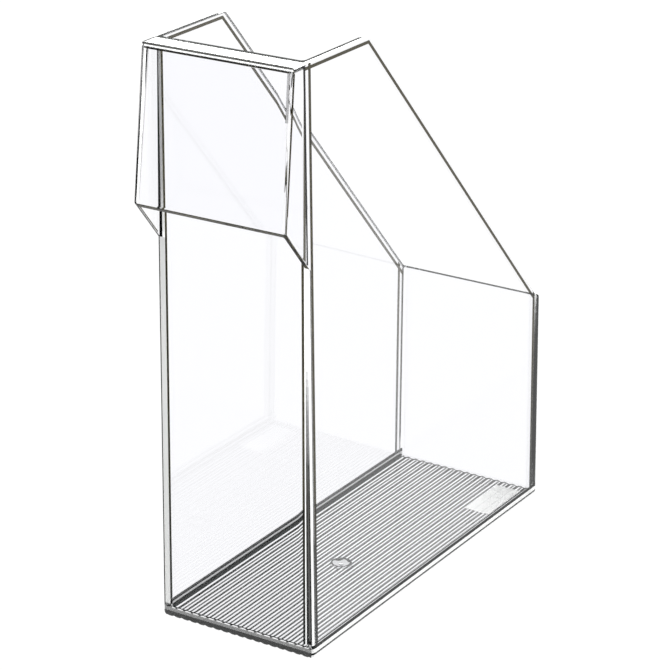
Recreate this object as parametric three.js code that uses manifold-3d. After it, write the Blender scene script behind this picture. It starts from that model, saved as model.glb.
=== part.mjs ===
// A clear plastic magazine rack: a tall narrow front, two side panels whose top edges slope down to a
// low rear wall, a ribbed floor, and a hood across the top of the front that is open underneath, so
// that fingers reach up behind it and pull the rack off a shelf.
//
// Millimetres, +Z up. The front faces -Y and the width runs along X. The origin lies under the
// middle of the whole rack, on the surface that it stands on.

import * as THREE from "three";
import { mergeVertices } from "three/addons/utils/BufferGeometryUtils.js";
import Module from "manifold-3d";

const wasm = await Module();
wasm.setup();

// Driving dimensions.
const HEIGHT = 310;
const BASE_WIDTH = 93;
const BODY_DEPTH = 235.5;
const REAR_HEIGHT = 121;
const TOP_FLAT = 57;
const SIDE_DRAFT = THREE.MathUtils.degToRad(0.62);
const WALL = 2.8;
const EDGE_RADIUS = 0.8;
const CORNER_RADIUS = 2.2;
const BOND_LINE = 0.1;

// The hood, seen from the side: its front plate leans out towards its lower edge, and from there the
// cheeks run back down to the body's front edge.
const HOOD_TOP_REACH = 10.2;
const HOOD_LOW_REACH = 18.9;
const HOOD_LOW_HEIGHT = 231.5;
const CHEEK_FOOT_HEIGHT = 209;
const PLATE_THICKNESS = 2.6;

// The floor: ribs run from front to back under a flat top.
const FLOOR_THICKNESS = 3.6;
const RIB_COUNT = 18;
const RIB_DEPTH = 1.1;
const GATE_RADIUS = 6;
const GATE_DEPTH = 1.4;
const GATE_NUB_RADIUS = 1.3;
const GATE_NUB_HEIGHT = 0.7;
const GATE_PLACE = { x: 1.5, y: 94.5 };

// The paper label on the floor, near the rear right corner.
const LABEL = { width: 15.4, length: 36.5, thickness: 0.2, x: 31.3, y: 207.3, corner: 0.8 };

// Half the outside width at height z: the side panels lean in towards the top.
function outerHalfWidth(z) {
  return BASE_WIDTH / 2 - z * Math.tan(SIDE_DRAFT);
}

// Half the width of a panel that fits between the side panels at height z.
function fittedHalfWidth(z) {
  return outerHalfWidth(z) - WALL - BOND_LINE;
}

// How far the hood's front plate stands in front of the body at height z.
function hoodReach(z) {
  const t = (HEIGHT - z) / (HEIGHT - HOOD_LOW_HEIGHT);
  return THREE.MathUtils.lerp(HOOD_TOP_REACH, HOOD_LOW_REACH, t);
}

// A closed outline through the given corners, each rounded by its own radius (0 leaves it sharp).
function roundedOutline(corners) {
  const shape = new THREE.Shape();
  corners.forEach(([x, y, radius], i) => {
    const corner = new THREE.Vector2(x, y);
    const before = new THREE.Vector2(...corners.at(i - 1));
    const after = new THREE.Vector2(...corners[(i + 1) % corners.length]);
    const back = before.sub(corner).normalize();
    const ahead = after.sub(corner).normalize();
    const half = Math.acos(THREE.MathUtils.clamp(back.dot(ahead), -1, 1)) / 2;
    const reach = radius / Math.tan(half);
    const start = back.multiplyScalar(reach).add(corner);
    const end = ahead.multiplyScalar(reach).add(corner);
    if (i === 0) {
      shape.moveTo(start.x, start.y);
    } else {
      shape.lineTo(start.x, start.y);
    }
    if (radius > 0) {
      shape.quadraticCurveTo(corner.x, corner.y, end.x, end.y);
    }
  });
  shape.closePath();
  return shape;
}

// A plate of the given outline and thickness whose edges are rounded on both faces.
function plate(outline, thickness) {
  return new THREE.ExtrudeGeometry(outline, {
    depth: thickness - 2 * EDGE_RADIUS,
    curveSegments: 5,
    bevelEnabled: true,
    bevelSize: EDGE_RADIUS,
    bevelOffset: -EDGE_RADIUS,
    bevelThickness: EDGE_RADIUS,
    bevelSegments: 3,
  }).translate(0, 0, EDGE_RADIUS);
}

// Turns a plate drawn as (depth, height) so that its thickness runs towards +X.
function standFacingSideways(geometry) {
  const alongY = new THREE.Vector3(0, 1, 0);
  const alongZ = new THREE.Vector3(0, 0, 1);
  const alongX = new THREE.Vector3(1, 0, 0);
  return geometry.applyMatrix4(new THREE.Matrix4().makeBasis(alongY, alongZ, alongX));
}

// Turns a plate drawn as (width, height) so that its thickness runs towards -Y.
function standFacingForward(geometry) {
  return geometry.rotateX(Math.PI / 2);
}

// Slides each point sideways in proportion to its height.
function lean(geometry, acrossX, acrossY) {
  return geometry.applyMatrix4(new THREE.Matrix4().makeShear(0, 0, 0, 0, acrossX, acrossY));
}

// The side panel's outline as (depth, height), with the hood's cheek in front of the body.
function sideOutline() {
  return roundedOutline([
    [0, 0, CORNER_RADIUS],
    [BODY_DEPTH, 0, CORNER_RADIUS],
    [BODY_DEPTH, REAR_HEIGHT, CORNER_RADIUS],
    [TOP_FLAT, HEIGHT, CORNER_RADIUS],
    [-HOOD_TOP_REACH, HEIGHT, CORNER_RADIUS],
    [-HOOD_LOW_REACH, HOOD_LOW_HEIGHT, CORNER_RADIUS],
    [0, CHEEK_FOOT_HEIGHT, CORNER_RADIUS],
  ]);
}

// A side panel: side is +1 on the right and -1 on the left.
function sidePanelGeometry(side) {
  const geometry = standFacingSideways(plate(sideOutline(), WALL));
  const middle = side * (BASE_WIDTH / 2 - WALL / 2);
  geometry.translate(middle - WALL / 2, 0, 0);
  return lean(geometry, -side * Math.tan(SIDE_DRAFT), 0);
}

// A wall across the rack between two heights. Its front face is at y = 0.
function crossWallGeometry(low, high, thickness) {
  const outline = roundedOutline([
    [-fittedHalfWidth(low), low, 0],
    [fittedHalfWidth(low), low, 0],
    [fittedHalfWidth(high), high, 0],
    [-fittedHalfWidth(high), high, 0],
  ]);
  return standFacingForward(plate(outline, thickness)).translate(0, thickness, 0);
}

// The hood's front plate, leaning out towards its lower edge between the two cheeks.
function hoodPlateGeometry() {
  const geometry = crossWallGeometry(HOOD_LOW_HEIGHT, HEIGHT, PLATE_THICKNESS);
  const slope = (HOOD_LOW_REACH - HOOD_TOP_REACH) / (HEIGHT - HOOD_LOW_HEIGHT);
  return lean(geometry.translate(0, 0, -HEIGHT), 0, slope).translate(0, -HOOD_TOP_REACH, HEIGHT);
}

// The hood's top strip, which closes the gap between the front plate and the front wall.
function hoodTopGeometry() {
  const low = HEIGHT - WALL;
  const half = fittedHalfWidth(HEIGHT);
  const section = new THREE.Shape();
  section.moveTo(-BOND_LINE, low);
  section.lineTo(-BOND_LINE, HEIGHT);
  section.lineTo(PLATE_THICKNESS + BOND_LINE - hoodReach(HEIGHT), HEIGHT);
  section.lineTo(PLATE_THICKNESS + BOND_LINE - hoodReach(low), low);
  section.closePath();
  const geometry = new THREE.ExtrudeGeometry(section, { depth: 2 * half, bevelEnabled: false });
  return standFacingSideways(geometry).translate(-half, 0, 0);
}

// The floor's cross-section as (width, height): round ribs below, a flat face above.
function floorSection() {
  const half = fittedHalfWidth(FLOOR_THICKNESS);
  const pitch = (2 * half) / RIB_COUNT;
  const radius = ((pitch / 2) ** 2 + RIB_DEPTH ** 2) / (2 * RIB_DEPTH);
  const spread = Math.asin(pitch / 2 / radius);
  const down = -Math.PI / 2;
  const section = new THREE.Shape();
  section.moveTo(-half, RIB_DEPTH);
  for (let i = 0; i < RIB_COUNT; i += 1) {
    const crest = -half + (i + 0.5) * pitch;
    section.absarc(crest, radius, radius, down - spread, down + spread, false);
  }
  section.lineTo(half, FLOOR_THICKNESS);
  section.lineTo(-half, FLOOR_THICKNESS);
  section.closePath();
  return section;
}

// A solid that manifold-3d can cut, made from a closed three.js geometry.
function toSolid(geometry) {
  const bare = geometry.clone();
  bare.deleteAttribute("normal");
  bare.deleteAttribute("uv");
  const merged = mergeVertices(bare, 1e-4);
  return new wasm.Manifold(
    new wasm.Mesh({
      numProp: 3,
      vertProperties: new Float32Array(merged.attributes.position.array),
      triVerts: new Uint32Array(merged.index.array),
    }),
  );
}

// The three.js geometry of a manifold-3d solid, shaded flat.
function toGeometry(solid) {
  const mesh = solid.getMesh();
  const indexed = new THREE.BufferGeometry();
  indexed.setAttribute("position", new THREE.BufferAttribute(mesh.vertProperties, 3));
  indexed.setIndex(new THREE.BufferAttribute(mesh.triVerts, 1));
  const geometry = indexed.toNonIndexed();
  geometry.computeVertexNormals();
  return geometry;
}

// An upright round bar that starts at the given height.
function uprightBar(radius, low, high) {
  const bar = new THREE.CylinderGeometry(radius, radius, high - low, 32);
  return bar.rotateX(Math.PI / 2).translate(GATE_PLACE.x, GATE_PLACE.y, (low + high) / 2);
}

// The ribbed floor, with the round recess and short nub of the moulding gate under it.
function floorGeometry() {
  const slab = new THREE.ExtrudeGeometry(floorSection(), {
    depth: BODY_DEPTH,
    curveSegments: 6,
    bevelEnabled: false,
  });
  const floor = toSolid(standFacingForward(slab).translate(0, BODY_DEPTH, 0));
  const recess = toSolid(uprightBar(GATE_RADIUS, -1, GATE_DEPTH));
  const nub = toSolid(uprightBar(GATE_NUB_RADIUS, GATE_DEPTH - GATE_NUB_HEIGHT, GATE_DEPTH + 1));
  return toGeometry(floor.subtract(recess).add(nub));
}

// The label lies flat, drawn as (width, length).
function labelGeometry() {
  const { width, length, thickness, corner } = LABEL;
  const outline = roundedOutline([
    [-width / 2, -length / 2, corner],
    [width / 2, -length / 2, corner],
    [width / 2, length / 2, corner],
    [-width / 2, length / 2, corner],
  ]);
  return new THREE.ExtrudeGeometry(outline, {
    depth: thickness,
    curveSegments: 5,
    bevelEnabled: false,
  });
}

function clearPlastic() {
  return new THREE.MeshStandardMaterial({
    color: 0xe9edf4,
    roughness: 0.05,
    metalness: 0,
    transparent: true,
    opacity: 0.28,
  });
}

function whitePaper() {
  return new THREE.MeshStandardMaterial({ color: 0xf4f4f2, roughness: 0.75, metalness: 0 });
}

function piece(name, geometry, material, place = [0, 0, 0]) {
  const mesh = new THREE.Mesh(geometry, material);
  mesh.name = name;
  mesh.position.set(...place);
  return mesh;
}

const floorTop = FLOOR_THICKNESS + BOND_LINE;
const clear = clearPlastic();

const hood = new THREE.Group();
hood.add(piece("hood_front_plate", hoodPlateGeometry(), clear));
hood.add(piece("hood_top_strip", hoodTopGeometry(), clear));

const body = new THREE.Group();
body.add(piece("left_side_panel", sidePanelGeometry(-1), clear));
body.add(piece("right_side_panel", sidePanelGeometry(1), clear));
body.add(piece("front_wall", crossWallGeometry(floorTop, HEIGHT, WALL), clear));
const rearWall = crossWallGeometry(floorTop, REAR_HEIGHT, WALL);
body.add(piece("rear_low_wall", rearWall, clear, [0, BODY_DEPTH - WALL, 0]));
body.add(piece("ribbed_floor", floorGeometry(), clear));
body.add(piece("floor_label", labelGeometry(), whitePaper(), [LABEL.x, LABEL.y, floorTop]));

// The body starts at y = 0 and the hood stands in front of it, so the rack is moved to put its
// middle over the origin.
const rack = new THREE.Group();
rack.position.y = (HOOD_LOW_REACH - BODY_DEPTH) / 2;
rack.add(body, hood);

export default rack;
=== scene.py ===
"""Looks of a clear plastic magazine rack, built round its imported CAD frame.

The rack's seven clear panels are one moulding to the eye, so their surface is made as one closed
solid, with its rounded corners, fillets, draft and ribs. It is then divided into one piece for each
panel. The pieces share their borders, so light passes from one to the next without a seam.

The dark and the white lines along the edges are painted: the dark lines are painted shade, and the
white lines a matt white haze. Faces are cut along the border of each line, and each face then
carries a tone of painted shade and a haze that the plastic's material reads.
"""

import math

import bmesh
import bpy
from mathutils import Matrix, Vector


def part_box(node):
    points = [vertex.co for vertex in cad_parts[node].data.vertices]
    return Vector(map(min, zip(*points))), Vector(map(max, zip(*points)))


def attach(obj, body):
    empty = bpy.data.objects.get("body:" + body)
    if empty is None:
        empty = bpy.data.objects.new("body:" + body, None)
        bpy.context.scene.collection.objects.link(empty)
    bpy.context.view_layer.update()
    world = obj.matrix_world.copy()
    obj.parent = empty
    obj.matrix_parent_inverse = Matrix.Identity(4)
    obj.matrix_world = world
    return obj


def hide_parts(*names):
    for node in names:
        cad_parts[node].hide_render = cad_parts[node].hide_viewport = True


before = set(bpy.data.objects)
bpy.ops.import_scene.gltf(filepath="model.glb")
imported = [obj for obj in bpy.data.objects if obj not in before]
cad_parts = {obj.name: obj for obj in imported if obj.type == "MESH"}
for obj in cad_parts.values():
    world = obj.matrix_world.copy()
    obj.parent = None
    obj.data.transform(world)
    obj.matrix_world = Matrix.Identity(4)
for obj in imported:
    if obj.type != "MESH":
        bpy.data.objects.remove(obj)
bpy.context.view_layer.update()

MM = 0.001

# The rack's own sizes. Depth (y) is counted from the front wall's outer face.
HEIGHT = 310 * MM
BASE_WIDTH = 93 * MM
BODY_DEPTH = 235.5 * MM
REAR_HEIGHT = 121 * MM
TOP_FLAT = 57 * MM
SIDE_DRAFT = math.radians(0.62)
HOOD_TOP_REACH = 10.2 * MM
HOOD_LOW_REACH = 18.9 * MM
HOOD_LOW_HEIGHT = 231.5 * MM
CHEEK_FOOT_HEIGHT = 209 * MM

# Wall thickness: the body's walls thicken downwards and the hood's walls thicken upwards.
WALL_LOW = 3.4 * MM
WALL_HIGH = 2.6 * MM
HOOD_WALL_LOW = 2.0 * MM
HOOD_WALL_HIGH = 3.0 * MM
HOOD_ROOF = 2.8 * MM
FLOOR_THICKNESS = 3.6 * MM

# Radii of the outer edges, and of the fillets in the bay.
FRONT_CORNER = 2.6 * MM
REAR_CORNER = 2.6 * MM
FOOT_SIDE = 3.2 * MM
FOOT_END = 1.4 * MM
HOOD_CORNER = 1.6 * MM
RIM_EDGE = 1.0 * MM
BAY_FRONT_FILLET = 2.2 * MM
BAY_REAR_FILLET = 3.4 * MM
BAY_FLOOR_FILLET = 2.0 * MM
HOOD_FILLET = 0.8 * MM
SLOPE_START_EDGE = 2.0 * MM
FINE_EDGE = 0.9 * MM

# Ribs and gate mark under the floor.
RIB_COUNT = 18
RIB_PITCH = 4.92 * MM
RIB_DEPTH = 1.1 * MM
RIB_STEPS = 16
GATE = Vector((1.5 * MM, 94.5 * MM))
GATE_RADIUS = 6 * MM
GATE_DEPTH = 1.4 * MM
GATE_NUB_RADIUS = 1.3 * MM
GATE_NUB_HEIGHT = 0.7 * MM

# The solids that cut the moulding reach this far past it: below, at both ends and above.
CUT_BELOW = -4 * MM
CUT_PAST_ENDS = 5 * MM
CUT_ABOVE = 60 * MM

# Where the moulding is divided: inside the foot's sides, above the table, in front of the rear
# wall's and of the front wall's outer face, and below the top.
SIDE_DIVISION = 9 * MM
FLOOR_DIVISION = 6.4 * MM
REAR_DIVISION = 20 * MM
HOOD_DIVISION = 0.3 * MM
STRIP_DIVISION = 4.2 * MM

# Distances within which points merge, within which planes touch a point, and the length below which
# an edge is taken out.
MERGE_DISTANCE = 1e-6
SCORE_TOLERANCE = 1e-7
DIVISION_TOLERANCE = 1e-8
SLIVER_EDGE = 0.01 * MM

# Painted shade lines run from their first to their last edge. The rims' line is measured inside
# the outline of a side panel, and the feet's lines by height.
RIM_LINE = (2.05 * MM, 3.75 * MM)
FOOT_LINES = ((0 * MM, 0.8 * MM), (2.2 * MM, 3.4 * MM), (5.6 * MM, 7.6 * MM))
FOOT_TOP = 8 * MM

# Upright lines of painted shade: on the outer sides by depth, at the right of the front face by
# distance from the rack's middle, and at its left by distance inside the left side. Behind the
# hood, the front face has a broad painted dark line from its left side to the junction line's end.
UPRIGHT_LINES = (
    (2.4 * MM, 4.6 * MM),
    (BODY_DEPTH - 9.3 * MM, BODY_DEPTH - 7.0 * MM),
    (BODY_DEPTH - 4.9 * MM, BODY_DEPTH - 2.2 * MM),
)
FRONT_LINE_RIGHT = (40.5 * MM, 41.9 * MM)
FRONT_LINE_LEFT = (5.0 * MM, 6.3 * MM)
JUNCTION_LINE_END = 3.5 * MM

# Two bands of painted shade are dark at the foot and fade out upwards in short steps: one at the
# right end of the front face, and one between the right side's two rear lines.
SPINE_BAND_START = 42.6 * MM
SPINE_DARK_TOP = 160 * MM
REAR_BAND = (UPRIGHT_LINES[1][1], UPRIGHT_LINES[2][0])
REAR_DARK_TOP = 125 * MM
FADE_POWER = 8
FADE_STEPS = 40

# The hood: a dark and a pale strip at the left end of its front plate and a grey one at its right
# end, by distance inside the sides, with the grey one starting at a height. Then the line along the
# foot of its left cheek, the line under its upper edge, by distance below the top, and the dark left
# end of its top. The dark and grey strips and these lines are painted shade. The top is hazed up to
# a small distance in front of the front wall.
HOOD_DARK_END = 2.0 * MM
HOOD_PALE_END = 3.4 * MM
HOOD_GREY_END = 3.0 * MM
HOOD_GREY_FOOT = 284 * MM
CHEEK_LINE = 1.6 * MM
STRIP_LINE = (1.8 * MM, 2.9 * MM)
STRIP_END = 1.9 * MM
HOOD_HAZE_GAP = 0.4 * MM

# Painted shade of the ribs: one dark line on the floor above each crest and a thinner one above each
# groove.
CREST_LINE_WIDTH = 1.2 * MM
GROOVE_LINE_WIDTH = 1.0 * MM

# The gate shows on the floor as a ring of painted shade, from its inner to its outer radius.
GATE_RING = (4.6 * MM, 5.6 * MM)
GATE_RING_SIDES = 16

# Tones of the painted shade lines, from 0 for clear to 1 for darkest.
BAND_TONE = 0.99
FINE_LINE_TONE = 0.985
JUNCTION_TONE = 0.97
TOP_EDGE_TONE = 0.95
HOOD_END_TONE = 0.93
SOFT_LINE_TONE = 0.9
HOOD_GREY_TONE = 0.75
GATE_TONE = 0.4
PALE_STRIP_TONE = 0.3
FRONT_FOOT_TONES = (0.93, 0.65)

# Hazes, from 0 for polished to 1 for matt white.
STRIP_HAZE = 0.85
REAR_RIM_HAZE = 0.8
SIDE_FOOT_HAZE = 0.7
FRONT_FOOT_HAZE = 0.6

# How squarely a face points one way, as that part of its unit normal.
SQUARELY = 0.999
NEARLY = 0.99
MOSTLY = 0.9
HALF = 0.5
PARTLY = 0.3
LEVEL = 0.1
SLIGHTLY = 0.05

# The same for single places: the hood's flat front and its rounded corners, the part of the front
# rounding in the dark band, the end of that rounding, the white top of the rims, and their dark
# inner edge.
HOOD_PLATE_FACING = 0.98
HOOD_CORNER_FACING = 0.997
SPINE_BAND_FACING = 0.7
ROUNDING_END_FACING = 0.97
RIM_TOP_FACING = 0.6
RIM_INNER_FACING = (0.75, 0.97)

# The hood's right corner carries painted shade where its rounding has turned between these angles,
# in degrees.
HOOD_CORNER_DARK = (3, 33)

# How far below the top the rounding of the rims reaches.
RIM_ROUNDING = 1.2 * MM

LABEL_CORNER = 0.8 * MM
LABEL_CORNER_STEPS = 6
LABEL_EDGE = 0.06 * MM
RULES_PER_METRE = 60

# Where the front wall's outer face lies in the frame.
FRONT_Y = (HOOD_LOW_REACH - BODY_DEPTH) / 2


def between(z, z_low, z_high, low, high):
    """The value at height z on the straight line from low at z_low to high at z_high."""
    return low + (high - low) * (z - z_low) / (z_high - z_low)


def outer_half_width(z):
    """Half the rack's width over its side panels at height z."""
    return BASE_WIDTH / 2 - z * math.tan(SIDE_DRAFT)


def wall(z):
    """The thickness of the body's walls at height z."""
    return between(z, 0, HEIGHT, WALL_LOW, WALL_HIGH)


def hood_wall(z):
    return between(z, HOOD_LOW_HEIGHT, HEIGHT, HOOD_WALL_LOW, HOOD_WALL_HIGH)


def hood_reach(z):
    """How far the hood stands out in front of the front wall at height z."""
    return between(z, HOOD_LOW_HEIGHT, HEIGHT, HOOD_LOW_REACH, HOOD_TOP_REACH)


# ---------------------------------------------------------------- camera
def add_camera():
    target = Vector((0.0051, -0.0226, 0.1384))
    azimuth = math.radians(32.37)
    elevation = math.radians(21.57)
    distance = 1.4
    back = Vector(
        (
            math.sin(azimuth) * math.cos(elevation),
            -math.cos(azimuth) * math.cos(elevation),
            math.sin(elevation),
        )
    )
    data = bpy.data.cameras.new("camera")
    data.sensor_width = 36
    data.lens = 145.7
    camera = bpy.data.objects.new("camera", data)
    camera.location = target + back * distance
    camera.rotation_euler = (-back).to_track_quat("-Z", "Y").to_euler()
    bpy.context.collection.objects.link(camera)
    bpy.context.scene.camera = camera


add_camera()


# ---------------------------------------------------------------- mesh helpers
def add_object(name, mesh):
    obj = bpy.data.objects.new(name, mesh)
    bpy.context.collection.objects.link(obj)
    return obj


def mesh_of(bm, name):
    mesh = bpy.data.meshes.new(name)
    bmesh.ops.recalc_face_normals(bm, faces=bm.faces)
    bm.to_mesh(mesh)
    bm.free()
    return mesh


def closed_prism(near, far):
    """A bmesh of the solid between two loops with the same number of points."""
    bm = bmesh.new()
    a = [bm.verts.new(p) for p in near]
    b = [bm.verts.new(p) for p in far]
    bm.faces.new(a)
    bm.faces.new(list(reversed(b)))
    for i in range(len(a)):
        j = (i + 1) % len(a)
        bm.faces.new((a[j], a[i], b[i], b[j]))
    bmesh.ops.recalc_face_normals(bm, faces=bm.faces)
    return bm


def evaluated_mesh(obj):
    """The mesh of obj with its modifiers applied."""
    graph = bpy.context.evaluated_depsgraph_get()
    return bpy.data.meshes.new_from_object(obj.evaluated_get(graph), depsgraph=graph)


def rounded(bm, radius_of, widest, segments, name):
    """The mesh of bm with each edge rounded by radius_of(edge), which is 0 for a sharp edge."""
    layer = bm.edges.layers.float.new("bevel_weight_edge")
    for edge in bm.edges:
        edge[layer] = radius_of(edge) / widest
    obj = add_object(name, mesh_of(bm, name))
    bevel = obj.modifiers.new("round", "BEVEL")
    bevel.limit_method = "WEIGHT"
    bevel.width = widest
    bevel.segments = segments
    bevel.miter_outer = "MITER_ARC"
    mesh = evaluated_mesh(obj)
    bpy.data.objects.remove(obj)
    return mesh


def cut(target, tools):
    """Subtracts each tool mesh from the target mesh and gives the result."""
    obj = add_object("cut", target)
    helpers = []
    for i, tool in enumerate(tools):
        helper = add_object(f"tool_{i}", tool)
        helpers.append(helper)
        boolean = obj.modifiers.new(f"cut_{i}", "BOOLEAN")
        boolean.operation = "DIFFERENCE"
        boolean.solver = "EXACT"
        boolean.object = helper
    mesh = evaluated_mesh(obj)
    for helper in [obj, *helpers]:
        bpy.data.objects.remove(helper)
    return mesh


# ---------------------------------------------------------------- the moulding
def outer_solid():
    """The rack's outside, as if it were filled in."""
    profile = [
        (0, 0),
        (BODY_DEPTH, 0),
        (BODY_DEPTH, REAR_HEIGHT),
        (BODY_DEPTH - WALL_LOW, REAR_HEIGHT),
        (TOP_FLAT, HEIGHT),
        (-HOOD_TOP_REACH, HEIGHT),
        (-HOOD_LOW_REACH, HOOD_LOW_HEIGHT),
        (0, CHEEK_FOOT_HEIGHT),
    ]
    right = [(outer_half_width(z), y, z) for y, z in profile]
    left = [(-x, y, z) for x, y, z in right]
    bm = closed_prism(left, right)

    def radius(edge):
        p, q = (v.co for v in edge.verts)
        middle = (p + q) / 2
        across = abs(p.x - q.x) > 10 * MM
        tall = abs(p.z - q.z) > 50 * MM
        if across:
            if middle.z < MM:
                return FOOT_END
            if middle.z > HEIGHT - MM:
                return SLOPE_START_EDGE if middle.y > 0 else RIM_EDGE
            at_rear_top = middle.y > BODY_DEPTH - MM
            at_hood_foot = middle.y < -HOOD_LOW_REACH + MM
            return FINE_EDGE if at_rear_top or at_hood_foot else 0
        if middle.z < MM:
            return FOOT_SIDE
        if middle.z < CHEEK_FOOT_HEIGHT and tall:
            if middle.y < MM:
                return FRONT_CORNER
            if middle.y > BODY_DEPTH - MM:
                return REAR_CORNER
        if middle.y < -HOOD_TOP_REACH and middle.z > HOOD_LOW_HEIGHT:
            return HOOD_CORNER
        return RIM_EDGE

    return rounded(bm, radius, FOOT_SIDE, 8, "outer")


def bay():
    """The space for the magazines, open above."""
    top = HEIGHT + CUT_ABOVE

    def loop(z):
        half = outer_half_width(z) - wall(z)
        front = wall(z)
        rear = BODY_DEPTH - wall(z)
        return [(-half, front, z), (half, front, z), (half, rear, z), (-half, rear, z)]

    bm = closed_prism(loop(FLOOR_THICKNESS), loop(top))

    def radius(edge):
        p, q = (v.co for v in edge.verts)
        middle = (p + q) / 2
        if abs(p.z - q.z) < MM:
            return BAY_FLOOR_FILLET if middle.z < 10 * MM else 0
        return BAY_FRONT_FILLET if middle.y < BODY_DEPTH / 2 else BAY_REAR_FILLET

    return rounded(bm, radius, BAY_REAR_FILLET, 8, "bay")


def hood_space():
    """The finger space under the hood, open below."""
    roof = HEIGHT - HOOD_ROOF
    low = CHEEK_FOOT_HEIGHT - CUT_PAST_ENDS

    def loop(z):
        half = outer_half_width(z) - hood_wall(z)
        front = hood_wall(z) - hood_reach(z)
        return [(-half, front, z), (half, front, z), (half, 0, z), (-half, 0, z)]

    bm = closed_prism(loop(low), loop(roof))

    def radius(edge):
        p, q = (v.co for v in edge.verts)
        middle = (p + q) / 2
        if middle.y > -MM:
            return 0
        return HOOD_FILLET if middle.z > low + MM else 0

    return rounded(bm, radius, MM, 4, "hood_space")


def rib_comb():
    """What is cut away under the floor to leave rounded ribs that run from front to back."""
    left = -RIB_COUNT * RIB_PITCH / 2
    top = []
    for step in range(RIB_COUNT * RIB_STEPS + 1):
        turn = 2 * math.pi * step / RIB_STEPS
        top.append((left + step * RIB_PITCH / RIB_STEPS, RIB_DEPTH * (1 + math.cos(turn)) / 2))
    section = [(left, CUT_BELOW), *top, (-left, CUT_BELOW)]
    near = [(x, -CUT_PAST_ENDS, z) for x, z in section]
    far = [(x, BODY_DEPTH + CUT_PAST_ENDS, z) for x, z in section]
    return mesh_of(closed_prism(near, far), "comb")


def gate_recess():
    """The round recess of the moulding gate, with the gate's nub left standing in it."""
    profile = [
        (0, CUT_BELOW),
        (GATE_RADIUS, CUT_BELOW),
        (GATE_RADIUS, GATE_DEPTH),
        (GATE_NUB_RADIUS, GATE_DEPTH),
        (GATE_NUB_RADIUS, GATE_NUB_HEIGHT),
        (0, GATE_NUB_HEIGHT),
    ]
    bm = bmesh.new()
    verts = [bm.verts.new((GATE.x + r, GATE.y, z)) for r, z in profile]
    edges = [bm.edges.new(pair) for pair in zip(verts, verts[1:])]
    bmesh.ops.spin(
        bm,
        geom=verts + edges,
        cent=(GATE.x, GATE.y, 0),
        axis=(0, 0, 1),
        angle=2 * math.pi,
        steps=48,
        use_merge=True,
    )
    bmesh.ops.remove_doubles(bm, verts=bm.verts, dist=MERGE_DISTANCE)
    return mesh_of(bm, "gate")


def soften_rims(mesh):
    """Rounds the sharp edges that the cuts left on the rims."""
    flat_angle = math.radians(0.05)
    rim_angle = math.radians(40)
    bm = bmesh.new()
    bm.from_mesh(mesh)
    bmesh.ops.remove_doubles(bm, verts=bm.verts, dist=MERGE_DISTANCE)
    bmesh.ops.dissolve_limit(bm, angle_limit=flat_angle, verts=bm.verts, edges=bm.edges)
    rims = []
    for edge in bm.edges:
        if len(edge.link_faces) != 2 or not edge.is_convex:
            continue
        if edge.calc_face_angle() < rim_angle:
            continue
        if min(v.co.z for v in edge.verts) > REAR_HEIGHT - MM:
            rims.append(edge)
    bmesh.ops.bevel(
        bm,
        geom=rims,
        offset=FINE_EDGE,
        offset_type="OFFSET",
        segments=4,
        profile=0.5,
        affect="EDGES",
        clamp_overlap=True,
    )
    return bm


# ---------------------------------------------------------------- directions and places
UP = Vector((0, 0, 1))
ACROSS = Vector((1, 0, 0))
DEEP = Vector((0, 1, 0))


def slope_normal():
    """The outward direction of the side panels' sloping rim."""
    return Vector((0, HEIGHT - REAR_HEIGHT, BODY_DEPTH - WALL_LOW - TOP_FLAT)).normalized()


def cheek_normal():
    """The upward direction square to the slanting foot of the hood's cheeks."""
    return Vector((0, HOOD_LOW_HEIGHT - CHEEK_FOOT_HEIGHT, HOOD_LOW_REACH)).normalized()


def above_cheek_foot(point):
    """How far above the slanting foot of the hood's cheeks a point lies."""
    return Vector((0, point.y, point.z - CHEEK_FOOT_HEIGHT)).dot(cheek_normal())


def rim_depth(point):
    """How far inside the rim's outline a point of a side panel lies."""
    slope_start = Vector((0, TOP_FLAT, HEIGHT))
    below_slope = (slope_start - Vector((0, point.y, point.z))).dot(slope_normal())
    return min(HEIGHT - point.z, below_slope)


def is_level(n):
    return abs(n.z) < LEVEL


def inside(value, limits):
    return limits[0] < value < limits[1]


def turn_from_walls(normal):
    """Degrees between a level normal and the nearest wall's own direction."""
    angle = math.degrees(math.atan2(abs(normal.y), abs(normal.x)))
    return min(angle, 90 - angle)


def side_inset(c):
    """How far a point lies inside the outer face of the nearer side."""
    return outer_half_width(c.z) - abs(c.x)


def on_outside(c):
    return abs(c.x) > outer_half_width(c.z) - MM or c.y < MM or c.y > BODY_DEPTH - MM


def on_front_line(c):
    return inside(c.x, FRONT_LINE_RIGHT) if c.x > 0 else inside(side_inset(c), FRONT_LINE_LEFT)


# ---------------------------------------------------------------- kinds of face
def is_floor_top(face):
    off_floor = abs(face.calc_center_median().z - FLOOR_THICKNESS)
    return face.normal.z > SQUARELY and off_floor < 0.02 * MM


def is_front_face(face):
    return face.normal.y < -SQUARELY and abs(face.calc_center_median().y) < MM


def is_hood_front(face):
    return face.normal.y < -MOSTLY and face.calc_center_median().y < -HOOD_TOP_REACH


def is_hood_plate(face):
    """The flat of the hood's front, without its rounded corners."""
    return is_hood_front(face) and face.normal.y < -HOOD_PLATE_FACING


def is_hood_corner(face):
    """The upright rounded corners of the hood."""
    n = face.normal
    in_front = face.calc_center_median().y < -MM
    return in_front and is_level(n) and max(abs(n.x), abs(n.y)) < HOOD_CORNER_FACING


def is_strip_top(face):
    return face.normal.z > NEARLY and face.calc_center_median().y < 0


def is_strip_left_end(n, c):
    """The left end of the hood's top, with its rounded edge."""
    at_end = c.x < 0 and side_inset(c) < STRIP_END
    return at_end and c.z > HEIGHT - RIM_ROUNDING and c.y < 0 and n.z > PARTLY


def is_outer_side(face):
    c = face.calc_center_median()
    return abs(face.normal.x) > NEARLY and abs(c.x) > outer_half_width(c.z) - MM


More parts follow.
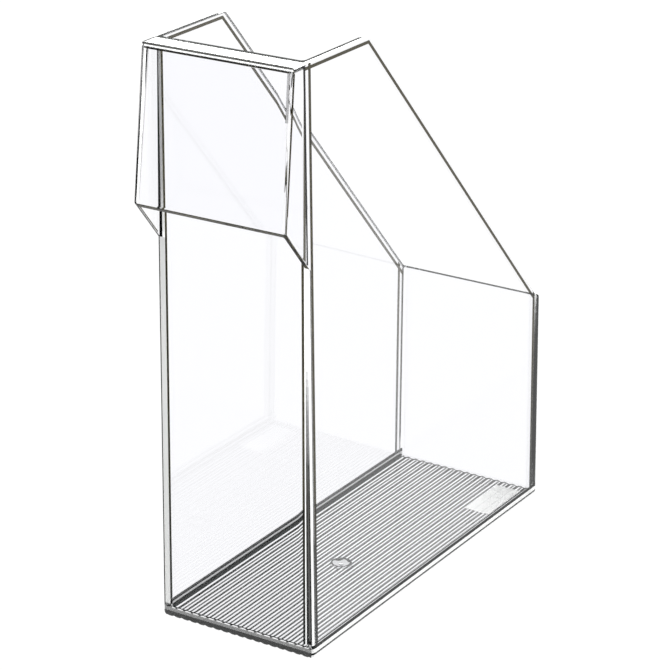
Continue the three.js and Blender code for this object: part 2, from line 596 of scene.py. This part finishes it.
def is_front_rounding(face):
    """The upright rounding of the body's front corners."""
    c = face.calc_center_median()
    n = face.normal
    turned = n.y < -SLIGHTLY and abs(n.x) > SLIGHTLY
    return is_level(n) and turned and 0 < c.y < FRONT_CORNER


def is_near_gate(face):
    offset = face.calc_center_median().xy - GATE
    return is_floor_top(face) and abs(offset.y) < GATE_RING[1] and abs(offset.x) < 2 * GATE_RING[1]


def is_gate_roof(n, c):
    """The flat inside the gate's recess, seen from above through the floor."""
    at_height = abs(c.z - GATE_DEPTH) < 0.05 * MM
    return n.z < -MOSTLY and at_height and (c.xy - GATE).length < GATE_RADIUS


def fade_top(face):
    """The height at which the band of painted shade on a face has faded out, or 0 where there is no
    band.
    """
    c = face.calc_center_median()
    if c.x < 0:
        return 0
    if is_front_rounding(face) and face.normal.y < -SPINE_BAND_FACING:
        return SPINE_DARK_TOP
    if is_front_face(face) and c.x > SPINE_BAND_START:
        return SPINE_DARK_TOP
    return REAR_DARK_TOP if is_outer_side(face) and inside(c.y, REAR_BAND) else 0


# ---------------------------------------------------------------- borders of the lines
def score(bm, point, normal, chosen=None):
    """Adds an edge loop where a plane crosses bm, or only its faces that chosen(face) picks."""
    faces = [face for face in bm.faces if chosen is None or chosen(face)]
    edges = {edge for face in faces for edge in face.edges}
    verts = {vert for face in faces for vert in face.verts}
    bmesh.ops.bisect_plane(
        bm,
        geom=[*faces, *edges, *verts],
        dist=SCORE_TOLERANCE,
        plane_co=point,
        plane_no=normal,
    )


def score_beside(bm, side, inset, chosen):
    """Scores along the right (1) or left (-1) side, at a distance inside its outer face."""
    point = Vector((side * (BASE_WIDTH / 2 - inset), 0, 0))
    score(bm, point, Vector((side, 0, math.tan(SIDE_DRAFT))), chosen)


def rib_lines():
    """The middle and the width of each line of painted shade that stands for the ribs on the floor.
    """
    left = -RIB_COUNT * RIB_PITCH / 2
    for half_pitch in range(1, 2 * RIB_COUNT):
        crest = half_pitch % 2 == 1
        yield left + half_pitch * RIB_PITCH / 2, CREST_LINE_WIDTH if crest else GROOVE_LINE_WIDTH


def score_rims_and_feet(bm):
    for inset in RIM_LINE:
        score(bm, Vector((0, 0, HEIGHT - inset)), UP)
        score(bm, Vector((0, TOP_FLAT, HEIGHT)) - slope_normal() * inset, slope_normal())
    score(bm, -HOOD_HAZE_GAP * DEEP, DEEP)
    score(bm, FLOOR_THICKNESS * UP, UP)
    for line in FOOT_LINES:
        for height in line:
            if height > 0:
                score(bm, height * UP, UP)


def score_upright_lines(bm):
    for line in UPRIGHT_LINES:
        for depth in line:
            score(bm, depth * DEEP, DEEP, is_outer_side)
    for place in (*FRONT_LINE_RIGHT, SPINE_BAND_START):
        score(bm, place * ACROSS, ACROSS, is_front_face)
    score(bm, CHEEK_FOOT_HEIGHT * UP, UP, is_front_face)
    for inset in (JUNCTION_LINE_END, *FRONT_LINE_LEFT):
        score_beside(bm, -1, inset, is_front_face)


def score_hood(bm):
    score_beside(bm, -1, STRIP_END, is_strip_top)
    score_beside(bm, -1, HOOD_DARK_END, is_hood_front)
    score_beside(bm, -1, HOOD_PALE_END, is_hood_front)
    score_beside(bm, 1, HOOD_GREY_END, is_hood_front)
    score(bm, HOOD_GREY_FOOT * UP, UP, is_hood_front)
    cheek_line_top = CHEEK_FOOT_HEIGHT * UP + CHEEK_LINE * cheek_normal()
    score(bm, cheek_line_top, cheek_normal(), is_outer_side)
    for inset in STRIP_LINE:
        score(bm, (HEIGHT - inset) * UP, UP, is_hood_front)


def score_fading_bands(bm):
    for step in range(1, FADE_STEPS + 1):
        score(bm, SPINE_DARK_TOP * step / FADE_STEPS * UP, UP, fade_top)


def score_floor(bm):
    for middle, width in rib_lines():
        score(bm, (middle - width / 2) * ACROSS, ACROSS, is_floor_top)
        score(bm, (middle + width / 2) * ACROSS, ACROSS, is_floor_top)
    for depth in (GATE.y - GATE_RING[1], GATE.y + GATE_RING[1]):
        score(bm, depth * DEEP, DEEP, is_floor_top)
    for radius in GATE_RING:
        for step in range(GATE_RING_SIDES):
            angle = 2 * math.pi * step / GATE_RING_SIDES
            outward = Vector((math.cos(angle), math.sin(angle), 0))
            score(bm, GATE.to_3d() + radius * outward, outward, is_near_gate)


# ---------------------------------------------------------------- painted shade of the faces
# Painted shade on the floor's top: the ribs' lines and the gate's ring.
def rib_line_tone(c):
    from_gate = (c.xy - GATE).length
    if from_gate < GATE_RING[1]:
        return FINE_LINE_TONE if from_gate > GATE_RING[0] else 0
    on_line = any(abs(c.x - middle) < width / 2 for middle, width in rib_lines())
    return FINE_LINE_TONE if on_line else 0


def foot_tone(n, c):
    """Painted shade near the floor: dark fillets inside and a dark gate wall, fine dark lines along
    the feet of the sides.
    """
    on_gate_wall = abs((c.xy - GATE).length - GATE_RADIUS) < 0.3 * MM
    on_side_foot = side_inset(c) < 2 * MM and abs(n.x) > HALF
    if on_gate_wall:
        return 1
    if not on_outside(c):
        return 1 if SLIGHTLY < n.z < NEARLY and n.y > -PARTLY else 0
    if on_side_foot:
        return 1 if any(inside(c.z, line) for line in FOOT_LINES) else 0
    if n.y < -PARTLY:
        if c.z < FLOOR_THICKNESS:
            return FRONT_FOOT_TONES[0]
        return FRONT_FOOT_TONES[1] if c.z < FOOT_LINES[-1][0] else 0
    return 0


# Painted shade of the fading bands: dark at the foot, fading out upwards.
def fade_tone(face):
    risen = face.calc_center_median().z / fade_top(face)
    return min(BAND_TONE, max(0, 1 - risen**FADE_POWER))


# Painted shade on the upright rounding of the front corners.
def front_rounding_tone(n, c):
    if c.x < 0:
        return FINE_LINE_TONE
    return SOFT_LINE_TONE if n.x > ROUNDING_END_FACING else 0


# Painted shade on the front face: its upright lines, the junction line and a pale strip.
def front_face_tone(c):
    inset = side_inset(c)
    if c.x < 0 and c.z > CHEEK_FOOT_HEIGHT and inset < JUNCTION_LINE_END:
        return JUNCTION_TONE
    if c.x < 0 and c.z < CHEEK_FOOT_HEIGHT and FRONT_CORNER < inset < FRONT_LINE_LEFT[0]:
        return PALE_STRIP_TONE
    return 1 if on_front_line(c) else 0


# Painted shade along the foot of the left cheek.
def cheek_tone(c):
    return 1 if c.x < 0 and above_cheek_foot(c) < CHEEK_LINE else 0


def side_tone(c):
    """Painted shade of the outer sides behind the hood: the rim's line and the upright ones."""
    if inside(rim_depth(c), RIM_LINE):
        return 1
    if c.x < 0 and inside(c.y, UPRIGHT_LINES[0]):
        return 0
    if c.x < 0 and inside(c.y, UPRIGHT_LINES[2]):
        return SOFT_LINE_TONE
    return 1 if any(inside(c.y, line) for line in UPRIGHT_LINES) else 0


def hood_and_rim_tone(face, n, c):
    """Painted shade of the hood's front, corners, foot and top strip, and of the inner edge of the
    rims.
    """
    inset = side_inset(c)
    in_rounding = c.z > HEIGHT - RIM_ROUNDING
    if is_hood_front(face) and inside(HEIGHT - c.z, STRIP_LINE):
        return SOFT_LINE_TONE
    if is_hood_plate(face) and c.x < 0 and inset < HOOD_DARK_END:
        return HOOD_END_TONE
    if is_hood_plate(face) and c.x > 0 and inset < HOOD_GREY_END:
        return HOOD_GREY_TONE if inside(c.z, (HOOD_GREY_FOOT, HEIGHT - STRIP_LINE[1])) else 0
    if is_hood_corner(face):
        if c.x < 0:
            return FINE_LINE_TONE
        return 1 if inside(turn_from_walls(n), HOOD_CORNER_DARK) else 0
    if c.z > CHEEK_FOOT_HEIGHT - MM and c.y < MM and n.z < -PARTLY:
        return 1
    if in_rounding and c.y < MM and n.y < -PARTLY and LEVEL < n.z < MOSTLY:
        return TOP_EDGE_TONE
    if is_strip_left_end(n, c):
        return 1
    if in_rounding and c.y > 0 and inset > MM:
        return TOP_EDGE_TONE if inside(n.z, RIM_INNER_FACING) else 0
    return 0


def painted_shade_of(face):
    """How much painted shade darkens the plastic on a face, from 0 for clear to 1."""
    n = face.normal
    c = face.calc_center_median()
    if is_floor_top(face):
        return rib_line_tone(c)
    # The gate's roof takes a light painted shade.
    if is_gate_roof(n, c):
        return GATE_TONE
    if c.z < FOOT_TOP and n.z > -MOSTLY:
        return foot_tone(n, c)
    if fade_top(face):
        return fade_tone(face)
    if is_front_rounding(face) and on_outside(c):
        return front_rounding_tone(n, c)
    if is_front_face(face):
        return front_face_tone(c)
    if is_outer_side(face):
        return cheek_tone(c) if c.y < 0 else side_tone(c)
    return hood_and_rim_tone(face, n, c)


# ---------------------------------------------------------------- haze of the faces
def hood_front_haze(c):
    at_left_end = c.x < 0 and inside(side_inset(c), (HOOD_DARK_END, HOOD_PALE_END))
    return STRIP_HAZE if HEIGHT - c.z < STRIP_LINE[0] or at_left_end else 0


def foot_haze(n, c):
    if abs(n.x) > HALF and c.z < FOOT_LINES[-1][1]:
        return SIDE_FOOT_HAZE
    return FRONT_FOOT_HAZE if n.y < -PARTLY and c.z < FOOT_LINES[-1][0] else 0


def front_face_haze(c):
    """Haze of the front face below the hood, between its two lines and the corners."""
    beside = c.x > FRONT_LINE_RIGHT[1] if c.x > 0 else side_inset(c) < FRONT_LINE_LEFT[0]
    return STRIP_HAZE if beside else 0


def haze_of(face):
    """How matt white a face is, from 0 for polished to 1.

    The rims, the hood's upper edge and pale strip, the feet and strips of the front wall are hazed,
    and so is what isn't dark of the fading bands and of the front corners.
    """
    n = face.normal
    c = face.calc_center_median()
    in_rounding = c.z > HEIGHT - RIM_ROUNDING
    on_side = side_inset(c) < wall(c.z)
    if is_strip_left_end(n, c):
        return 0
    if in_rounding and n.z > RIM_TOP_FACING:
        return 1 if on_side or c.y < -HOOD_HAZE_GAP else 0
    if in_rounding and n.z > SLIGHTLY and abs(n.x) > PARTLY and side_inset(c) < MM:
        return 1
    if c.y < -HOOD_TOP_REACH + MM and n.y < -HALF:
        return hood_front_haze(c)
    if c.z > REAR_HEIGHT - MM and n.y > PARTLY and n.z > PARTLY and on_side:
        return REAR_RIM_HAZE
    if c.z < FOOT_TOP and on_outside(c) and not n.z < -MOSTLY:
        return foot_haze(n, c)
    if c.z > CHEEK_FOOT_HEIGHT:
        in_gap = inside(side_inset(c), (JUNCTION_LINE_END, FRONT_LINE_LEFT[0]))
        return 1 if is_front_face(face) and c.x < 0 and in_gap else 0
    if fade_top(face) or is_front_rounding(face) and on_outside(c):
        return STRIP_HAZE * (1 - painted_shade_of(face))
    if is_front_face(face):
        return front_face_haze(c)
    return 0


def paint(bm):
    """Writes each face's tone of painted shade and its haze where the plastic's material reads them.
    """
    tone = bm.faces.layers.float.new("painted_edge_shade")
    haze = bm.faces.layers.float.new("edge_haze")
    for face in bm.faces:
        face[tone] = painted_shade_of(face)
        face[haze] = haze_of(face)


def moulding():
    """The whole clear body as one closed surface, painted with shade and haze, in its place in the
    frame.
    """
    body = cut(outer_solid(), [bay(), hood_space(), rib_comb(), gate_recess()])
    bm = soften_rims(body)
    score_rims_and_feet(bm)
    score_upright_lines(bm)
    score_hood(bm)
    score_fading_bands(bm)
    score_floor(bm)
    bmesh.ops.dissolve_degenerate(bm, dist=SLIVER_EDGE, edges=bm.edges)
    paint(bm)
    bmesh.ops.translate(bm, verts=bm.verts, vec=(0, FRONT_Y, 0))
    return bm


def split(bm, point, normal):
    """Divides bm by a plane into what lies on the normal's side and the rest."""
    ahead, behind = bm.copy(), bm.copy()
    bm.free()
    for part, clear in ((ahead, "clear_inner"), (behind, "clear_outer")):
        geom = part.verts[:] + part.edges[:] + part.faces[:]
        bmesh.ops.bisect_plane(
            part,
            geom=geom,
            dist=DIVISION_TOLERANCE,
            plane_co=point,
            plane_no=normal,
            **{clear: True},
        )
    return ahead, behind


# ---------------------------------------------------------------- materials
CLEAR_COLOUR = (0.972, 0.973, 0.985, 1)
HAZE_COLOUR = (0.96, 0.965, 0.96, 1)
# Colours of the painted shade lines.
OLIVE_PAINTED_SHADE = (0.0038, 0.0034, 0.0012, 1)
COPPER_PAINTED_SHADE = (0.0040, 0.0028, 0.0010, 1)
SLATE_PAINTED_SHADE = (0.0024, 0.0031, 0.0031, 1)

# The painted shade lines are slate-dark on the table, and olive and copper from this height upwards.
WARM_HEIGHT = 90 * MM
WARM_PATCHES = 30

POLYSTYRENE_IOR = 1.59
HAZE_TRANSMISSION = 0.1
HAZE_ROUGHNESS = 0.4

# Reflections are turned well down, so that the panels hardly mirror each other.
REFLECTION = (0.05, 0.05, 0.05, 1)
RIPPLE_SCALE = 22
RIPPLE_STRENGTH = 0.12
RIPPLE_HEIGHT = 0.3 * MM

PAPER_COLOUR = (0.95, 0.95, 0.94, 1)
RULE_COLOUR = (0.45, 0.45, 0.46, 1)
RULE_START = 0.9
RULE_STRENGTH = 0.45
RULE_PATCHES = 160
FIBRE_SCALE = 2200
PAPER_ROUGHNESS = (0.7, 0.95)
FIBRE_STRENGTH = 0.3
FIBRE_HEIGHT = 0.05 * MM


def node_material(name):
    material = bpy.data.materials.new(name)
    material.use_nodes = True
    nodes, links = material.node_tree.nodes, material.node_tree.links
    return material, nodes, links, nodes["Principled BSDF"]


def attribute(nodes, name):
    node = nodes.new("ShaderNodeAttribute")
    node.attribute_name = name
    return node.outputs["Fac"]


def blend(nodes, links, factor, low, high):
    """A colour that goes from low to high as the factor socket goes from 0 to 1."""
    node = nodes.new("ShaderNodeMix")
    node.data_type = "RGBA"
    links.new(factor, node.inputs[0])
    for socket, value in ((node.inputs[6], low), (node.inputs[7], high)):
        if isinstance(value, tuple):
            socket.default_value = value
        else:
            links.new(value, socket)
    return node.outputs[2]


def spread(nodes, links, factor, low, high):
    """A number that goes from low to high as the factor socket goes from 0 to 1."""
    node = nodes.new("ShaderNodeMapRange")
    node.inputs["To Min"].default_value = low
    node.inputs["To Max"].default_value = high
    links.new(factor, node.inputs["Value"])
    return node.outputs["Result"]


def object_place(nodes):
    """The place of a point in the frame, since every piece keeps its origin at the frame's."""
    return nodes.new("ShaderNodeTexCoord").outputs["Object"]


def object_noise(nodes, links, scale, detail):
    noise = nodes.new("ShaderNodeTexNoise")
    noise.inputs["Scale"].default_value = scale
    noise.inputs["Detail"].default_value = detail
    links.new(object_place(nodes), noise.inputs["Vector"])
    return noise.outputs["Fac"]


def object_height(nodes, links, low, high):
    """A number that goes from 0 to 1 between two heights."""
    apart = nodes.new("ShaderNodeSeparateXYZ")
    links.new(object_place(nodes), apart.inputs[0])
    ramp = nodes.new("ShaderNodeMapRange")
    ramp.inputs["From Min"].default_value = low
    ramp.inputs["From Max"].default_value = high
    links.new(apart.outputs["Z"], ramp.inputs["Value"])
    return ramp.outputs["Result"]


def bumped(nodes, links, shader, height, strength, distance):
    bump = nodes.new("ShaderNodeBump")
    bump.inputs["Strength"].default_value = strength
    bump.inputs["Distance"].default_value = distance
    links.new(height, bump.inputs["Height"])
    links.new(bump.outputs["Normal"], shader.inputs["Normal"])


def clear_plastic():
    """Water-clear polystyrene, dark with painted shade where faces carry a tone, matt white where
    hazed.
    """
    material, nodes, links, shader = node_material("clear_plastic")
    tone = attribute(nodes, "painted_edge_shade")
    haze = attribute(nodes, "edge_haze")
    clear = blend(nodes, links, haze, CLEAR_COLOUR, HAZE_COLOUR)
    height = object_height(nodes, links, 0, WARM_HEIGHT)
    patches = object_noise(nodes, links, WARM_PATCHES, 1)
    warm = blend(nodes, links, patches, COPPER_PAINTED_SHADE, OLIVE_PAINTED_SHADE)
    painted_shade_colour = blend(nodes, links, height, SLATE_PAINTED_SHADE, warm)
    links.new(blend(nodes, links, tone, clear, painted_shade_colour), shader.inputs["Base Color"])
    transmission = spread(nodes, links, haze, 1, HAZE_TRANSMISSION)
    links.new(transmission, shader.inputs["Transmission Weight"])
    links.new(spread(nodes, links, haze, 0, HAZE_ROUGHNESS), shader.inputs["Roughness"])
    shader.inputs["IOR"].default_value = POLYSTYRENE_IOR
    shader.inputs["Specular Tint"].default_value = REFLECTION
    ripple = object_noise(nodes, links, RIPPLE_SCALE, 0)
    bumped(nodes, links, shader, ripple, RIPPLE_STRENGTH, RIPPLE_HEIGHT)
    return material


def label_paper():
    """Uncoated white paper with faint grey ruled lines and a fine fibre grain."""
    material, nodes, links, shader = node_material("label_paper")
    place = object_place(nodes)
    rules = nodes.new("ShaderNodeTexWave")
    rules.wave_type = "BANDS"
    rules.bands_direction = "X"
    rules.inputs["Scale"].default_value = RULES_PER_METRE
    rules.inputs["Distortion"].default_value = 0
    links.new(place, rules.inputs["Vector"])
    thin = nodes.new("ShaderNodeMapRange")
    thin.inputs["From Min"].default_value = RULE_START
    thin.inputs["To Max"].default_value = RULE_STRENGTH
    links.new(rules.outputs["Fac"], thin.inputs["Value"])
    patches = nodes.new("ShaderNodeMath")
    patches.operation = "MULTIPLY"
    links.new(thin.outputs["Result"], patches.inputs[0])
    links.new(object_noise(nodes, links, RULE_PATCHES, 2), patches.inputs[1])
    ruled = blend(nodes, links, patches.outputs[0], PAPER_COLOUR, RULE_COLOUR)
    links.new(ruled, shader.inputs["Base Color"])
    fibre = object_noise(nodes, links, FIBRE_SCALE, 3)
    links.new(spread(nodes, links, fibre, *PAPER_ROUGHNESS), shader.inputs["Roughness"])
    bumped(nodes, links, shader, fibre, FIBRE_STRENGTH, FIBRE_HEIGHT)
    return material


# ---------------------------------------------------------------- pieces
SHARP_ANGLE = math.radians(32)


def add_piece(name, bm, material, nodes):
    mesh = bpy.data.meshes.new(name)
    bm.to_mesh(mesh)
    bm.free()
    mesh.shade_smooth()
    mesh.set_sharp_from_angle(angle=SHARP_ANGLE)
    mesh.materials.clear()
    mesh.materials.append(material)
    piece = add_object(name, mesh)
    weighted = piece.modifiers.new("flat_faces_stay_flat", "WEIGHTED_NORMAL")
    weighted.keep_sharp = True
    weighted.weight = 100
    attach(piece, "root")
    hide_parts(*nodes)
    return piece


def add_clear_body():
    """The moulding, divided into its seven pieces."""
    plastic = clear_plastic()
    whole = moulding()
    inset = BASE_WIDTH / 2 - SIDE_DIVISION
    lean = math.tan(SIDE_DRAFT)
    rear_place = FRONT_Y + BODY_DEPTH - REAR_DIVISION
    hood_place = FRONT_Y - HOOD_DIVISION
    right, rest = split(whole, Vector((inset, 0, 0)), Vector((1, 0, lean)))
    left, middle = split(rest, Vector((-inset, 0, 0)), Vector((-1, 0, lean)))
    upper, floor = split(middle, Vector((0, 0, FLOOR_DIVISION)), UP)
    rear, front = split(upper, Vector((0, rear_place, 0)), DEEP)
    front_wall, hood = split(front, Vector((0, hood_place, 0)), DEEP)
    strip, plate = split(hood, Vector((0, 0, HEIGHT - STRIP_DIVISION)), UP)
    add_piece("right_side", right, plastic, ["right_side_panel"])
    add_piece("left_side", left, plastic, ["left_side_panel"])
    add_piece("floor_with_ribs", floor, plastic, ["ribbed_floor"])
    add_piece("rear_wall", rear, plastic, ["rear_low_wall"])
    add_piece("front_spine", front_wall, plastic, ["front_wall"])
    add_piece("hood_plate", plate, plastic, ["hood_front_plate"])
    add_piece("hood_strip", strip, plastic, ["hood_top_strip"])


def add_label():
    """The paper label on the floor: a thin sheet with round corners and a softened upper edge."""
    low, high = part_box("floor_label")
    low, high = Vector(low), Vector(high)
    middle = (low + high) / 2
    half = (high - low) / 2
    bm = bmesh.new()
    ring = []
    for corner in range(4):
        side_x = 1 if corner in (0, 3) else -1
        side_y = 1 if corner in (0, 1) else -1
        for step in range(LABEL_CORNER_STEPS + 1):
            angle = math.radians(90) * (corner + step / LABEL_CORNER_STEPS)
            ring.append(
                (
                    middle.x + side_x * (half.x - LABEL_CORNER) + LABEL_CORNER * math.cos(angle),
                    middle.y + side_y * (half.y - LABEL_CORNER) + LABEL_CORNER * math.sin(angle),
                    low.z,
                )
            )
    base = bm.faces.new([bm.verts.new(p) for p in ring])
    grown = bmesh.ops.extrude_face_region(bm, geom=[base])
    lifted = [item for item in grown["geom"] if isinstance(item, bmesh.types.BMVert)]
    bmesh.ops.translate(bm, verts=lifted, vec=(0, 0, high.z - low.z))
    bmesh.ops.recalc_face_normals(bm, faces=bm.faces)
    rim = [edge for edge in bm.edges if min(v.co.z for v in edge.verts) > high.z - 0.01 * MM]
    bmesh.ops.bevel(
        bm,
        geom=rim,
        offset=LABEL_EDGE,
        offset_type="OFFSET",
        segments=2,
        profile=0.5,
        affect="EDGES",
    )
    add_piece("paper_label", bm, label_paper(), ["floor_label"])


add_clear_body()
add_label()


# ---------------------------------------------------------------- stage and light
def add_floor():
    """A plain floor that glows an even white, just under the rack's feet."""
    mesh = bpy.data.meshes.new("ground")
    bm = bmesh.new()
    bmesh.ops.create_grid(bm, x_segments=1, y_segments=1, size=20)
    bm.to_mesh(mesh)
    bm.free()
    ground = add_object("ground", mesh)
    ground.location.z = -0.05 * MM
    material, _, _, shader = node_material("white_light_table")
    shader.inputs["Base Color"].default_value = (0, 0, 0, 1)
    shader.inputs["Specular IOR Level"].default_value = 0
    shader.inputs["Roughness"].default_value = 1
    shader.inputs["Emission Color"].default_value = (1, 1, 1, 1)
    shader.inputs["Emission Strength"].default_value = 1.05
    mesh.materials.append(material)


def add_world():
    """White light from the level and below, which turns light grey higher up."""
    world = bpy.data.worlds.new("studio")
    bpy.context.scene.world = world
    world.use_nodes = True
    nodes, links = world.node_tree.nodes, world.node_tree.links
    background = nodes["Background"]
    coordinates = nodes.new("ShaderNodeTexCoord")
    separate = nodes.new("ShaderNodeSeparateXYZ")
    ramp = nodes.new("ShaderNodeValToRGB")
    links.new(coordinates.outputs["Generated"], separate.inputs[0])
    links.new(separate.outputs["Z"], ramp.inputs["Fac"])
    links.new(ramp.outputs["Color"], background.inputs["Color"])
    stops = ramp.color_ramp.elements
    stops[0].position = 0.10
    stops[0].color = (1, 1, 1, 1)
    stops[1].position = 0.30
    stops[1].color = (0.5, 0.52, 0.5, 1)
    background.inputs["Strength"].default_value = 1


def add_soft_box(name, place, size, power):
    """A large soft light that only matt surfaces catch, so that no panel mirrors it."""
    data = bpy.data.lights.new(name, "AREA")
    data.shape = "SQUARE"
    data.size = size
    data.energy = power
    lamp = bpy.data.objects.new(name, data)
    lamp.location = place
    lamp.rotation_euler = Vector(place).to_track_quat("Z", "Y").to_euler()
    lamp.visible_camera = False
    lamp.visible_glossy = False
    lamp.visible_transmission = False
    bpy.context.collection.objects.link(lamp)


def add_soft_boxes():
    """One large light overhead and four smaller ones around the rack, in metres and watts."""
    add_soft_box("overhead", (0, 0, 1.8), 1.6, 60)
    away = 1.6
    for corner in range(4):
        angle = math.radians(45 + 90 * corner)
        place = (away * math.cos(angle), away * math.sin(angle), 0.5)
        add_soft_box(f"side_{corner}", place, 0.9, 9)


add_floor()
add_world()
add_soft_boxes()

scene = bpy.context.scene
scene.view_settings.view_transform = "Standard"
scene.cycles.max_bounces = 64
scene.cycles.transmission_bounces = 64
scene.cycles.glossy_bounces = 8
